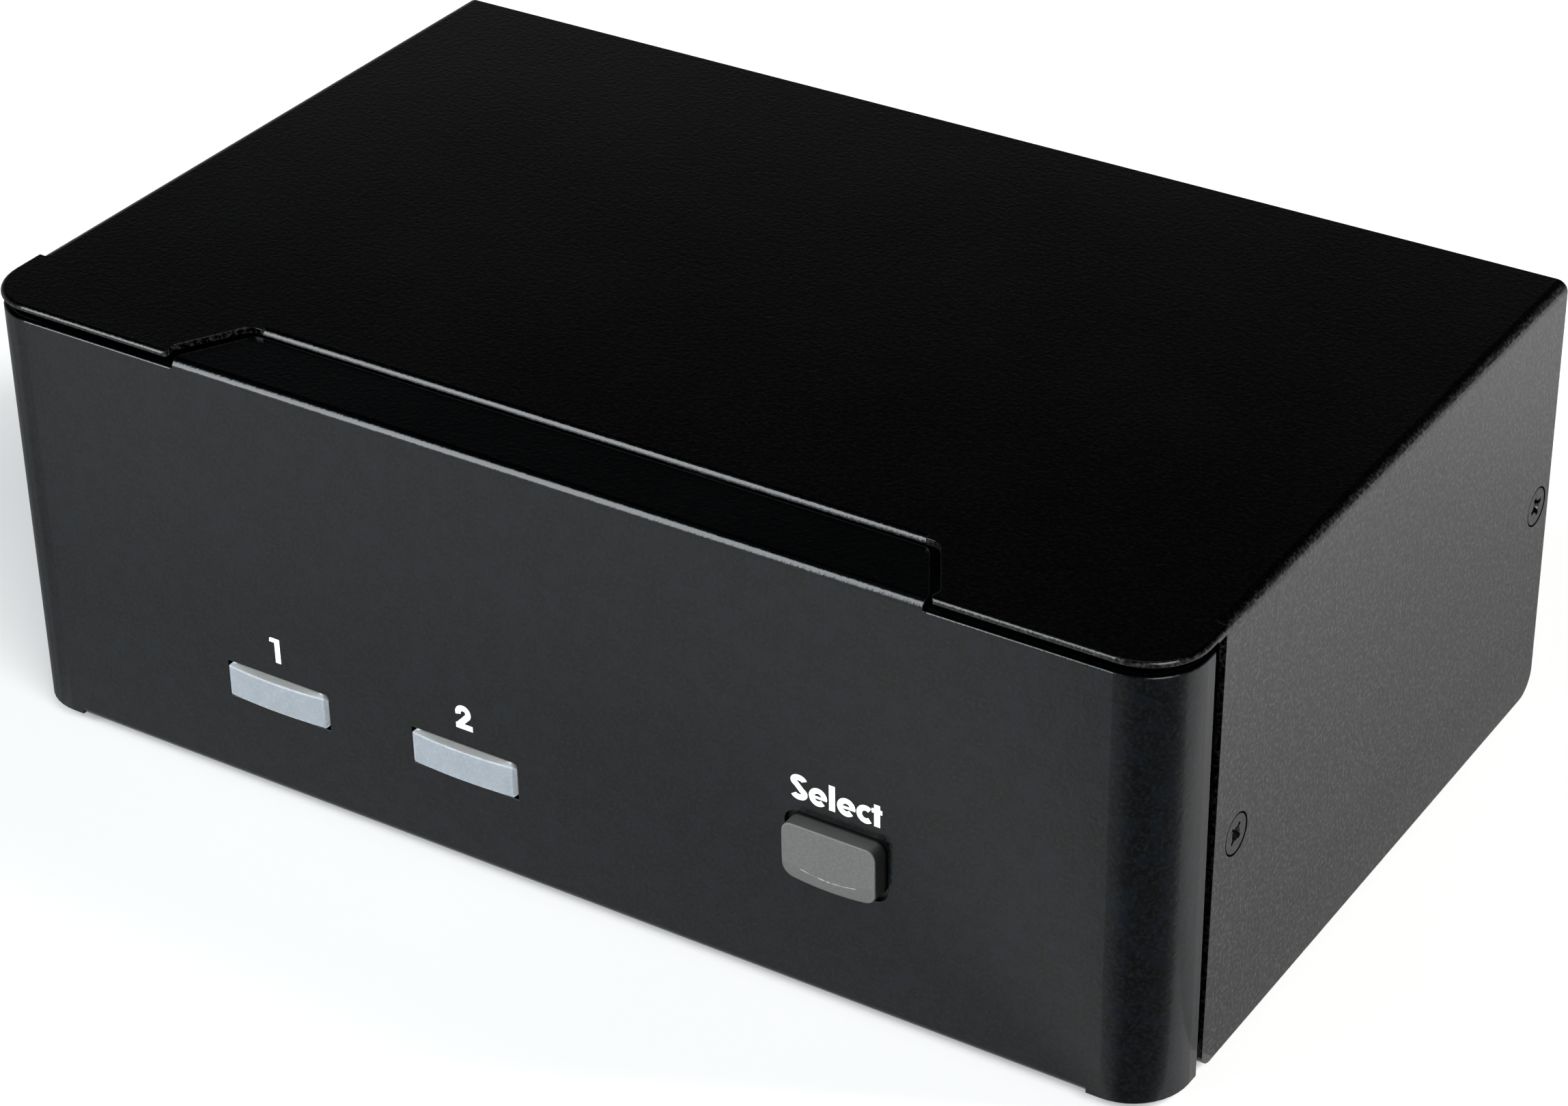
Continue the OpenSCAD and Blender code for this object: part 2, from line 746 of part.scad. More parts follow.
module screw_pair_holes(x, z, pitch) {
    for (side = [-1, 1]) {
        rod_y(x + side * pitch / 2, z, thread_r, [rear_in - 7, rear_in + 1]);
    }
}
module dvi_port_console() {
    dvi_port(dvi_x[0]);
}
module dvi_port_1() {
    dvi_port(dvi_x[1]);
}
module dvi_port_2() {
    dvi_port(dvi_x[2]);
}
// Seen from behind, the 24 digital contacts are on the left and the blade on the right
module dvi_inserts() {
    pitch = 1.9;
    front = rear_y + shell_proud - 0.4;
    color([0.93, 0.93, 0.9]) in_case() for (x = dvi_x) translate([x, 0, dvi_z]) difference() {
        along_y([rear_y + shell_proud - insert_depth, front]) polygon(dvi_outline(0));
        for (column = [0:7], row = [-1:1]) {
            translate([10 - column * pitch, 0, row * pitch])
                block([-0.45, 0.45], [front - 3, front + 1], [-0.45, 0.45]);
        }
        block([-10.6, -5.4], [front - 3, front + 1], [-0.25, 0.25]);
        block([-8.15, -7.85], [front - 3, front + 1], [-1.6, 1.6]);
        for (column = [-9.3, -6.7], row = [-1.4, 1.4]) {
            translate([column, 0, row]) block([-0.45, 0.45], [front - 3, front + 1], [-0.45, 0.45]);
        }
    }
}

// VGA connectors: a D outline that narrows downwards
function vga_outline(grow) =
    let (w = vga_insert_w / 2 + grow, h = vga_insert_h / 2 + grow)
    rounded(mirrored([[w - 1.3, -h], [w, h]]), mirrored_radii([2 + grow, 2 + grow]));
module vga_port(x) {
    color([0.72, 0.72, 0.7]) in_case() difference() {
        union() {
            block([x - 15.4, x + 15.4], [rear_in - flange_t, rear_in], [vga_z - 6, vga_z + 6.2]);
            block([x - 14.5, x + 14.5], [rear_in - 12, rear_in - flange_t],
                  [video_top, vga_z + 5.5]);
            translate([x, 0, vga_z]) along_y([rear_in - 1, rear_y + shell_proud])
                polygon(vga_outline(shell_wall));
        }
        translate([x, 0, vga_z]) along_y([rear_y + shell_proud - insert_depth, rear_y + 9])
            polygon(vga_outline(0));
        screw_pair_holes(x, vga_z, vga_screw_pitch);
    }
}
module vga_port_console() {
    vga_port(vga_x[0]);
}
module vga_port_1() {
    vga_port(vga_x[1]);
}
module vga_port_2() {
    vga_port(vga_x[2]);
}
module vga_inserts() {
    pitch = 2.29;
    front = rear_y + shell_proud - 0.4;
    color([0.15, 0.3, 0.65]) in_case() for (x = vga_x) translate([x, 0, vga_z]) difference() {
        along_y([rear_y + shell_proud - insert_depth, front]) polygon(vga_outline(0));
        for (column = [-2:2], row = [-1:1]) {
            translate([column * pitch + row * pitch / 4, front - 3, row * 1.98])
                rotate([-90, 0, 0]) cylinder(h = 4, r = 0.55, $fn = 8);
        }
    }
}
// Female-threaded hexagon posts that hold the connectors and take the cable's screws
module jackscrews() {
    color([0.8, 0.8, 0.78]) in_case() {
        for (x = dvi_x, side = [-1, 1]) {
            jackscrew(x + side * dvi_screw_pitch / 2, dvi_z);
        }
        for (x = vga_x, side = [-1, 1]) {
            jackscrew(x + side * vga_screw_pitch / 2, vga_z);
        }
    }
}
module jackscrew(x, z) {
    translate([x, rear_y, z]) rotate([-90, 0, 0]) difference() {
        union() {
            intersection() {
                cylinder(h = hex_len, r = hex_flats / sqrt(3), $fn = 6);
                cylinder(h = hex_len, r1 = hex_flats / 2 + 2, r2 = hex_flats / 2 + 0.1);
            }
            translate([0, 0, -6.5]) cylinder(h = 7, r = 1.42);
        }
        translate([0, 0, 0.6]) cylinder(h = hex_len, r = hex_bore_r);
    }
}

// USB connectors
module usb_a_ports(x, z) {
    color([0.78, 0.78, 0.76]) in_case() difference() {
        block([x - usb_a_w / 2, x + usb_a_w / 2], [rear_y + usb_proud - usb_a_depth,
              rear_y + usb_proud], [z, z + usb_a_h]);
        usb_a_slots(x, z);
    }
}
module usb_a_slots(x, z) {
    for (low = [1.1, 9.2]) {
        block([x - usb_slot_w / 2, x + usb_slot_w / 2], [rear_y - 12, rear_y + 2],
              [z + low, z + low + usb_slot_h]);
    }
}
module usb_a_ports_console() {
    usb_a_ports(usb_a_x[0], main_top);
}
module usb_a_ports_hub() {
    usb_a_ports(usb_a_x[1], video_top);
}
module usb_a_tongues() {
    places = [[usb_a_x[0], main_top], [usb_a_x[1], video_top]];
    color([0.1, 0.1, 0.1]) in_case() for (place = places, low = [1.1, 9.2]) {
        block([place[0] - 5.6, place[0] + 5.6], [rear_y - 12, rear_y - 1],
              [place[1] + low + 2.9, place[1] + low + 4.8]);
    }
}
module usb_b_port(x) {
    slot = rounded(mirrored([[4.25, 1.4], [4.25, 7.6], [2.9, 9.2]]), [0, 0, 0, 0, 0, 0]);
    color([0.78, 0.78, 0.76]) in_case() difference() {
        block([x - usb_b_w / 2, x + usb_b_w / 2], [rear_y + usb_proud - usb_b_depth,
              rear_y + usb_proud], [main_top, main_top + usb_b_h]);
        translate([x, 0, main_top]) along_y([rear_y - 12, rear_y + 2]) polygon(slot);
    }
}
module usb_b_port_1() {
    usb_b_port(usb_b_x[0]);
}
module usb_b_port_2() {
    usb_b_port(usb_b_x[1]);
}
module usb_b_tongues() {
    color([0.92, 0.92, 0.9]) in_case() for (x = usb_b_x) {
        block([x - 2.8, x + 2.8], [rear_y - 12, rear_y - 1], [main_top + 3.6, main_top + 6.8]);
    }
}

// Audio and power sockets
module audio_jacks(places) {
    for (x = places) {
        difference() {
            union() {
                block([x - 4, x + 4], [rear_in - 12.5, rear_in], [video_top, jack_z + 4.4]);
                rod_y(x, jack_z, audio_nose_r, [rear_in - 1, rear_y + audio_proud]);
            }
            rod_y(x, jack_z, audio_r, [rear_y + audio_proud - audio_depth, rear_y + 5]);
        }
    }
}
module speaker_jacks() {
    color([0.45, 0.75, 0.35]) in_case() audio_jacks(speaker_x);
}
module microphone_jacks() {
    color([0.9, 0.55, 0.62]) in_case() audio_jacks(microphone_x);
}
module dc_jack() {
    z = main_top + 5.5;
    color([0.1, 0.1, 0.1]) in_case() difference() {
        union() {
            block([dc_x - 4.5, dc_x + 4.5], [rear_in - 13, rear_in], [main_top, main_top + 10.6]);
            rod_y(dc_x, z, 3.9, [rear_in - 1, rear_y]);
        }
        rod_y(dc_x, z, dc_r, [rear_y - dc_depth, rear_y + 1]);
    }
}
module dc_jack_pin() {
    z = main_top + 5.5;
    color([0.8, 0.8, 0.78]) in_case() {
        rod_y(dc_x, z, dc_pin_r, [rear_y - dc_depth, rear_y - 1.3]);
        translate([dc_x, rear_y - 1.3, z]) rotate([-90, 0, 0])
            cylinder(h = 0.5, r1 = dc_pin_r, r2 = dc_pin_r - 0.4);
    }
}

// Components on the boards
module flat_chip(x, y, z, size) {
    pins = floor((size - 2) / 1.2);
    block([x - size / 2, x + size / 2], [y - size / 2, y + size / 2], [z + 0.15, z + 1.5]);
    translate([x, y, z]) for (turn = [0:90:270], i = [0:pins - 1]) {
        rotate([0, 0, turn]) translate([(i - (pins - 1) / 2) * 1.2, size / 2, 0])
            block([-0.25, 0.25], [-0.2, 1], [0, 0.5]);
    }
}
module video_chips() {
    color([0.1, 0.1, 0.1]) in_case() {
        flat_chip(-48, 84, main_top, 14);
        flat_chip(48, 84, main_top, 14);
        flat_chip(-40, 88, video_top, 10);
        flat_chip(0, 88, video_top, 10);
        flat_chip(40, 88, video_top, 10);
    }
}
module usb_hub_chip() {
    color([0.1, 0.1, 0.1]) in_case() flat_chip(-38, 50, main_top, 10);
}
// A finned block over the main switching chip
module heat_sink() {
    fins = 6;
    size = 22;
    color([0.15, 0.15, 0.16]) in_case() translate([22, 52, main_top]) {
        block([-8, 8], [-8, 8], [0, 1.6]);
        block([-size / 2, size / 2], [-size / 2, size / 2], [1.6, 3.6]);
        for (i = [0:fins - 1]) {
            translate([(i - (fins - 1) / 2) * (size - 1.4) / (fins - 1), 0, 0])
                block([-0.7, 0.7], [-size / 2, size / 2], [3.6, 10]);
        }
    }
}
module crystals() {
    color([0.8, 0.8, 0.8]) in_case() for (x = [-56, -18]) translate([x, 50, main_top]) {
        block([-1.9, 1.9], [-3.2, 3.2], [0, 3.5]);
        for (side = [-1, 1]) {
            translate([0, side * 3.2, 0]) cylinder(h = 3.5, r = 1.9);
        }
    }
}
module capacitors() {
    color([0.15, 0.2, 0.45]) in_case() {
        for (x = [62, 72]) {
            translate([x, 95, main_top]) cylinder(h = 11, r = 4);
        }
        for (place = [[-70, 34], [-70, 62], [-10, 30], [44, 62], [62, 62]]) {
            translate([place[0], place[1], main_top]) cylinder(h = 8, r = 3.15);
        }
    }
}
module power_inductor() {
    color([0.25, 0.25, 0.27]) in_case() translate([74, 82, main_top]) {
        block([-5, 5], [-5, 5], [0, 1]);
        translate([0, 0, 1]) cylinder(h = 4, r = 4.8);
    }
}
module buzzer() {
    color([0.08, 0.08, 0.08]) in_case() translate([58, 34, main_top]) difference() {
        cylinder(h = 8, r = 6);
        translate([0, 0, 5]) cylinder(h = 4, r = 1.2, $fn = 12);
    }
}

top_cover();
chassis();
rear_panel();
cover_screws();
rear_panel_screws();
rubber_feet();
led_window_1();
led_window_2();
select_button();
switch_plunger();
select_switch();
button_guide();
front_board();
front_board_screws();
status_leds();
board_header();
insulating_sheet();
main_board();
video_board();
lower_standoffs();
upper_standoffs();
board_screws();
stack_socket();
stack_plug();
dvi_port_console();
dvi_port_1();
dvi_port_2();
dvi_inserts();
vga_port_console();
vga_port_1();
vga_port_2();
vga_inserts();
jackscrews();
usb_a_ports_hub();
usb_a_ports_console();
usb_a_tongues();
usb_b_port_1();
usb_b_port_2();
usb_b_tongues();
speaker_jacks();
microphone_jacks();
dc_jack();
dc_jack_pin();
video_chips();
usb_hub_chip();
heat_sink();
crystals();
capacitors();
power_inductor();
buzzer();
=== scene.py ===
import math

import bmesh
import bpy
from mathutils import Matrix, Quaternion, Vector
from mathutils.geometry import delaunay_2d_cdt


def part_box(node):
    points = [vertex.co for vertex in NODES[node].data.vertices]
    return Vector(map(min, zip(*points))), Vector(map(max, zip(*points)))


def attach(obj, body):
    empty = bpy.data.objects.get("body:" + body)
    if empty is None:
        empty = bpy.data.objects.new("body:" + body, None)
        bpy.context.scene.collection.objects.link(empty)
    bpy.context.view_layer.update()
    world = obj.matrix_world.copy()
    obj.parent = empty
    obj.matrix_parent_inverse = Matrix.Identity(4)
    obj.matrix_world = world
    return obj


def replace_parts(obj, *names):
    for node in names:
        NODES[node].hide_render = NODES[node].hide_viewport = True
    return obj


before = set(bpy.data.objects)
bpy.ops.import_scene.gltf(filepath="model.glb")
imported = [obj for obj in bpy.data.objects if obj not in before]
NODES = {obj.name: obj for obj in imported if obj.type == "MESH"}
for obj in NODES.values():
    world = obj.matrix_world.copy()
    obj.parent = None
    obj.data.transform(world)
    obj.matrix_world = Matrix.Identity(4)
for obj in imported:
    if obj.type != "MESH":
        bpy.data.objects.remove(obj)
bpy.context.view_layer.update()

MM = 0.001


def middle_of(node):
    low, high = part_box(node)
    return (low + high) / 2


front_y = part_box("chassis")[0].y
INK = 0.03 * MM
# How far a print stands off its panel
OFF_PANEL = 0.005 * MM
# Welds and cuts work to these
WELD = 0.002 * MM
CUT = 0.0001 * MM
# The fold low on the button's face is an arc round a point above the button's middle
FOLD_RADIUS = 20 * MM
FOLD_REACH = 4.7 * MM
FOLD_CENTRE = middle_of("select_button").xz + Vector((0, 17.1 * MM))
# The middles of the cover's screws, in millimetres
COVER_SCREW_Y = (-42.9, 55.9)
COVER_SCREW_Z = 37
# How far a window's inner lip is wider than its face, at each end
WINDOW_LIP = 1.3 * MM
WINDOW_BEVEL = 0.14


# ---------------------------------------------------------------- materials

class Recipe:
    """A Principled material built one node at a time, in the row frame's own coordinates."""

    def __init__(self, name, colour, roughness, **sockets):
        self.material = bpy.data.materials.new(name)
        self.material.use_nodes = True
        self.tree = self.material.node_tree
        self.shader = self.tree.nodes["Principled BSDF"]
        self.shader.inputs["Base Color"].default_value = (*colour, 1)
        self.shader.inputs["Roughness"].default_value = roughness
        for socket, value in sockets.items():
            self.shader.inputs[socket.replace("_", " ")].default_value = value
        self.place = self.add("ShaderNodeTexCoord").outputs["Object"]
        self.colour = None
        self.normal = None

    def add(self, kind, **settings):
        node = self.tree.nodes.new(kind)
        for key, value in settings.items():
            setattr(node, key, value)
        return node

    def link(self, source, socket):
        self.tree.links.new(source, socket)

    def noise(self, size, detail=2.0, stretch=None, shift=0.0):
        """Noise whose features are about size millimetres across, 0 to 1."""
        node = self.add("ShaderNodeTexNoise")
        node.inputs["Scale"].default_value = 1 / (size * MM)
        node.inputs["Detail"].default_value = detail
        scaled = self.add("ShaderNodeMapping")
        scaled.inputs["Scale"].default_value = stretch or (1, 1, 1)
        scaled.inputs["Location"].default_value = (shift, shift / 2, -shift)
        self.link(self.place, scaled.inputs["Vector"])
        self.link(scaled.outputs["Vector"], node.inputs["Vector"])
        return node.outputs["Fac"]

    def span(self, source, low, high, start, end):
        """source from low to high becomes start to end."""
        node = self.add("ShaderNodeMapRange")
        for socket, value in zip(("From Min", "From Max", "To Min", "To Max"),
                                 (low, high, start, end)):
            node.inputs[socket].default_value = value
        self.link(source, node.inputs["Value"])
        return node.outputs["Result"]

    def maths(self, operation, *values):
        node = self.add("ShaderNodeMath", operation=operation)
        for value, socket in zip(values, node.inputs):
            if isinstance(value, (int, float)):
                socket.default_value = value
            else:
                self.link(value, socket)
        return node.outputs["Value"]

    def rounded(self, radius, samples=4):
        """The normal the surface would have with its edges rounded to radius millimetres."""
        node = self.add("ShaderNodeBevel", samples=samples)
        node.inputs["Radius"].default_value = radius * MM
        return node.outputs["Normal"]

    def edge(self, width):
        """1 on edges that stick out, 0 on flats, width millimetres wide, broken up by noise."""
        true = self.add("ShaderNodeNewGeometry")
        dot = self.add("ShaderNodeVectorMath", operation="DOT_PRODUCT")
        self.link(self.rounded(width), dot.inputs[0])
        self.link(true.outputs["Normal"], dot.inputs[1])
        mask = self.span(dot.outputs["Value"], 0.985, 0.8, 0, 1)
        return self.maths("MULTIPLY", mask, self.span(self.noise(0.9, 3), 0.35, 0.6, 0.35, 1))

    def facing(self, axis, low=0.5, high=0.9):
        """1 on faces that look along the row frame's axis, 0 on those across it."""
        true = self.add("ShaderNodeNewGeometry")
        parts = self.add("ShaderNodeSeparateXYZ")
        self.link(true.outputs["Normal"], parts.inputs["Vector"])
        return self.span(parts.outputs[axis], low, high, 0, 1)

    def open_to_light(self):
        """0 in gaps a few millimetres wide, 1 in the open; as a mask it paints shade into the
        gaps.
        """
        node = self.add("ShaderNodeAmbientOcclusion", samples=6)
        node.inputs["Distance"].default_value = 4 * MM
        return self.span(node.outputs["AO"], 0.35, 0.7, 0, 1)

    def tint(self, mask, colour):
        """Mixes colour in where mask is 1."""
        mix = self.add("ShaderNodeMix", data_type="RGBA")
        self.link(mask, mix.inputs["Factor"])
        if self.colour is None:
            mix.inputs["A"].default_value = self.shader.inputs["Base Color"].default_value
        else:
            self.link(self.colour, mix.inputs["A"])
        mix.inputs["B"].default_value = (*colour, 1)
        self.colour = mix.outputs["Result"]
        self.link(self.colour, self.shader.inputs["Base Color"])

    def gloss(self, source, low, high):
        """Roughness from low to high as source goes from 0.3 to 0.7."""
        self.link(self.span(source, 0.3, 0.7, low, high), self.shader.inputs["Roughness"])

    def relief(self, source, depth):
        """source raises the surface by depth micrometres at most."""
        bump = self.add("ShaderNodeBump")
        bump.inputs["Strength"].default_value = 1
        bump.inputs["Distance"].default_value = depth * MM * MM
        self.link(source, bump.inputs["Height"])
        if self.normal is not None:
            self.link(self.normal, bump.inputs["Normal"])
        self.normal = bump.outputs["Normal"]
        self.link(self.normal, self.shader.inputs["Normal"])


def shade(colour, factor):
    """colour made factor times as bright, at most 1."""
    return tuple(min(1, factor * c) for c in colour)


def powder_coat(name, colour, *, speck, top_speck, mottle, wear_and_painted_highlight, rounding):
    """Textured satin black paint: grain about half a millimetre across, coarser on upright
    faces, over slow clouds of mottle. Upward faces and gaps get painted shade: the lighter
    specks and mottle are kept off them. Its edges are lighter, partly from wear and partly as a
    painted highlight. The sheet's cut edges look rounded by rounding mm."""
    r = Recipe(name, colour, 0.2, IOR=1.355)
    grain = r.noise(0.55, 4)
    grains = r.span(grain, 0.46, 0.74, 0, 1)
    # Painted shade: upward faces and gaps a few millimetres wide lose the lighter specks and
    # mottle
    out_of_painted_shade = r.maths("MULTIPLY", r.maths("SUBTRACT", 1, r.facing("Z")), r.open_to_light())
    clouds = r.span(r.noise(2.6, 3, shift=0.013), 0.45, 0.68, 0, 0.8)
    r.tint(r.maths("MULTIPLY", clouds, out_of_painted_shade), mottle)
    r.tint(grains, top_speck)
    r.tint(r.maths("MULTIPLY", grains, out_of_painted_shade), speck)
    # Lighter edges: partly wear, partly a painted highlight
    r.tint(r.edge(0.2), wear_and_painted_highlight)
    r.gloss(r.noise(26, 3), 0.16, 0.195)
    r.normal = r.rounded(rounding, 8)
    r.relief(r.noise(0.9, 2, shift=0.004), 22)
    r.relief(grain, 22)
    return r.material


def moulded(name, colour, roughness, grain=0.35, depth=3.0, lighter=1.5, edge=0.25, **sockets):
    """Moulded plastic: spark-eroded grain, slow mottling, edges polished by wear."""
    r = Recipe(name, colour, roughness, **sockets)
    r.tint(r.span(r.noise(9, 3), 0.35, 0.75, 0, 0.5), shade(colour, 0.8))
    r.tint(r.maths("MULTIPLY", r.edge(edge), 0.8), shade(colour, lighter))
    r.gloss(r.noise(5, 2), roughness - 0.06, roughness + 0.08)
    r.relief(r.noise(grain, 2), depth)
    return r.material


def button_plastic(name, colour, front, centre, radius, across):
    """Grained plastic with painted shade and painted highlights: darker top walls, near-black
    right side walls, near black behind the panel, a painted highlight along its edges and a
    broken painted glint along the shallow fold low on its face. The fold is the lowest part of
    a circle round centre, as far as across to each side. All lengths are in metres, and front
    is the panel's Y."""
    r = Recipe(name, colour, 0.5)
    r.tint(r.span(r.noise(9, 3), 0.35, 0.75, 0, 0.5), shade(colour, 0.85))
    r.tint(r.span(r.noise(0.36, 3), 0.4, 0.7, 0, 0.5), shade(colour, 1.5))
    # Painted shade: the top walls are darker and the right side walls near black
    r.tint(r.facing("Z"), shade(colour, 0.5))
    r.tint(r.facing("X", 0.3, 0.7), shade(colour, 0.06))
    # Painted highlight along the edges, broken up by noise
    r.tint(r.edge(0.22), shade(colour, 6))
    parts = r.add("ShaderNodeSeparateXYZ")
    r.link(r.place, parts.inputs["Vector"])
    # Painted shade: the plastic behind the panel is near black
    behind_panel_painted_shade = r.span(parts.outputs["Y"], front, front + 0.4 * MM, 0, 1)
    r.tint(behind_panel_painted_shade, shade(colour, 0.05))
    # Painted glint along the fold low on the face, broken up by noise
    x = r.maths("SUBTRACT", parts.outputs["X"], centre.x)
    z = r.maths("SUBTRACT", parts.outputs["Z"], centre.y)
    squares = r.maths("ADD", r.maths("MULTIPLY", x, x), r.maths("MULTIPLY", z, z))
    reach = r.maths("SQRT", squares)
    off = r.maths("ABSOLUTE", r.maths("SUBTRACT", reach, radius))
    line = r.span(off, 0.02 * MM, 0.09 * MM, 1, 0)
    ends = r.span(r.maths("ABSOLUTE", x), across - 0.4 * MM, across, 1, 0)
    low = r.span(z, -0.5 * radius, -0.4 * radius, 1, 0)
    wear_and_painted_highlight = r.maths("MULTIPLY", r.span(r.noise(0.8, 3), 0.42, 0.6, 0.1, 1), low)
    r.tint(r.maths("MULTIPLY", r.maths("MULTIPLY", line, ends), wear_and_painted_highlight), (0.5, 0.5, 0.49))
    r.gloss(r.noise(5, 2), 0.44, 0.58)
    r.relief(r.noise(0.3, 2), 6)
    return r.material


def plated(name, colour, roughness, stretch=(1, 1, 12), stain=(0.35, 0.33, 0.3)):
    """Plated metal: drawn lines, faint stains and bright edges."""
    r = Recipe(name, colour, roughness, Metallic=1.0)
    lines = r.noise(0.9, 3, stretch)
    stained = tuple(a * b * 2 for a, b in zip(colour, stain))
    r.tint(r.span(r.noise(6, 3), 0.45, 0.8, 0, 0.3), stained)
    r.tint(r.maths("MULTIPLY", r.edge(0.15), 0.5), shade(colour, 1.2))
    r.gloss(lines, roughness - 0.08, roughness + 0.12)
    r.relief(lines, 1.2)
    return r.material


def rubbery(name, colour):
    r = Recipe(name, colour, 0.8)
    r.tint(r.span(r.noise(3, 3), 0.4, 0.7, 0, 0.7), shade(colour, 1.7))
    r.gloss(r.noise(1.2, 2), 0.7, 0.9)
    r.relief(r.noise(0.4, 3), 8)
    return r.material


def gap_painted_shade(name):
    """A black sheet of painted shade for a gap too deep to return any light."""
    r = Recipe(name, (0.0008, 0.0008, 0.0008), 0.9, Specular_IOR_Level=0.0)
    r.tint(r.span(r.noise(0.4, 2), 0.5, 0.7, 0, 0.5), (0.003, 0.003, 0.003))
    return r.material


def circuit_board(name, colour):
    """Solder mask over copper: two crossing runs of tracks show as slightly lighter lines."""
    r = Recipe(name, colour, 0.3, Coat_Weight=0.4, Coat_Roughness=0.15)
    for size, shift in ((5, 0.0), (11, 0.0031)):
        tracks = r.add("ShaderNodeTexBrick", offset=0.37, squash=0.7)
        for socket, value in (("Color1", (0, 0, 0, 1)), ("Color2", (0, 0, 0, 1)),
                              ("Mortar", (1, 1, 1, 1))):
            tracks.inputs[socket].default_value = value
        tracks.inputs["Scale"].default_value = 1 / (size * MM)
        tracks.inputs["Mortar Size"].default_value = 0.035
        moved = r.add("ShaderNodeMapping")
        moved.inputs["Location"].default_value = (shift, shift, 0)
        r.link(r.place, moved.inputs["Vector"])
        r.link(moved.outputs["Vector"], tracks.inputs["Vector"])
        r.tint(r.maths("MULTIPLY", tracks.outputs["Color"], 0.6), (0.03, 0.26, 0.1))
        r.relief(tracks.outputs["Color"], 18)
    r.tint(r.span(r.noise(14, 2), 0.4, 0.7, 0, 0.3), (0.01, 0.07, 0.03))
    r.gloss(r.noise(2, 2), 0.24, 0.38)
    return r.material


def frosted(name, colour):
    """Light-pipe plastic: cloudy inside, satin outside, with painted shade on its top faces and a
    painted highlight along its edges.
    """
    r = Recipe(name, colour, 0.4, IOR=1.49, Subsurface_Weight=0.35, Subsurface_Scale=0.0015)
    r.shader.inputs["Subsurface Radius"].default_value = (1.0, 1.1, 1.3)
    r.tint(r.span(r.noise(3.2, 2), 0.3, 0.7, 0, 0.6), shade(colour, 0.86))
    r.tint(r.span(r.noise(0.45, 2), 0.5, 0.7, 0, 0.5), shade(colour, 1.25))
    # Painted shade: the top faces are darker
    r.tint(r.facing("Z"), tuple(a * c for a, c in zip((0.72, 0.66, 0.58), colour)))
    # Painted highlight along the edges
    r.tint(r.edge(0.45), (0.9, 0.93, 0.96))
    r.gloss(r.noise(1.5, 2), 0.33, 0.46)
    r.relief(r.noise(0.3, 2), 2.5)
    return r.material


def ink(name, colour):
    """Screen-printed ink: a little uneven in tone, with the mesh's faint relief."""
    r = Recipe(name, colour, 0.45)
    r.tint(r.span(r.noise(0.6, 3), 0.4, 0.75, 0, 0.35), shade(colour, 0.86))
    r.gloss(r.noise(0.5, 2), 0.4, 0.55)
    r.relief(r.noise(0.2, 1), 2)
    return r.material


COVER = powder_coat(
    "cover_coat", (0.0001, 0.0001, 0.0002), speck=(0.03, 0.03, 0.0305),
    top_speck=(0.0012, 0.0012, 0.0013), mottle=(0.0004, 0.0005, 0.0008),
    wear_and_painted_highlight=(0.006, 0.0063, 0.0066), rounding=0.12)
CHASSIS = powder_coat(
    "chassis_coat", (0.0001, 0.0002, 0.0003), speck=(0.0045, 0.0052, 0.0064),
    top_speck=(0.0006, 0.0006, 0.0007), mottle=(0.0008, 0.003, 0.006),
    wear_and_painted_highlight=(0.01, 0.0105, 0.0115), rounding=0.15)
SCREW = plated("black_screw", (0.062, 0.062, 0.064), 0.34, (1, 1, 1), (0.3, 0.3, 0.32))
RUBBER = rubbery("rubber", (0.012, 0.012, 0.012))
WINDOW = frosted("window_plastic", (0.235, 0.262, 0.29))
BUTTON = button_plastic("button_plastic", (0.077, 0.0785, 0.0755), front_y, FOLD_CENTRE,
                        FOLD_RADIUS, FOLD_REACH)
BLACK = moulded("black_plastic", (0.012, 0.012, 0.013), 0.42)
WHITE = moulded("white_plastic", (0.72, 0.72, 0.68), 0.4, lighter=1.15)
BLUE = moulded("blue_plastic", (0.02, 0.07, 0.36), 0.38)
GREEN = moulded("green_plastic", (0.16, 0.5, 0.1), 0.4)
PINK = moulded("pink_plastic", (0.78, 0.22, 0.3), 0.4, lighter=1.2)
RESIN = moulded("chip_resin", (0.014, 0.014, 0.015), 0.55, grain=0.2, depth=6)
LAMP = moulded("led_resin", (0.62, 0.72, 0.64), 0.15, depth=0.6, IOR=1.53, Coat_Weight=0.5)
FERRITE = moulded("ferrite", (0.05, 0.05, 0.055), 0.6, grain=0.15, depth=9)
SLEEVE = moulded("capacitor_sleeve", (0.02, 0.03, 0.12), 0.25, depth=1, Coat_Weight=0.6)
FILM = moulded("film", (0.5, 0.5, 0.42), 0.2, grain=4, depth=14, lighter=1.3)
ANODISED = plated("anodised", (0.035, 0.035, 0.04), 0.4, (1, 12, 1), (0.45, 0.45, 0.5))
ZINC = plated("zinc", (0.62, 0.61, 0.58), 0.3)
BRASS = plated("brass", (0.72, 0.55, 0.24), 0.28)
SHELL = plated("shell_metal", (0.66, 0.65, 0.62), 0.28, (1, 10, 1))
GOLD = plated("contact_gold", (0.86, 0.62, 0.26), 0.22)
BOARD = circuit_board("board_green", (0.008, 0.1, 0.04))
WHITE_INK = ink("white_ink", (0.86, 0.86, 0.86))


# ------------------------------------------------------- the CAD nodes' finish

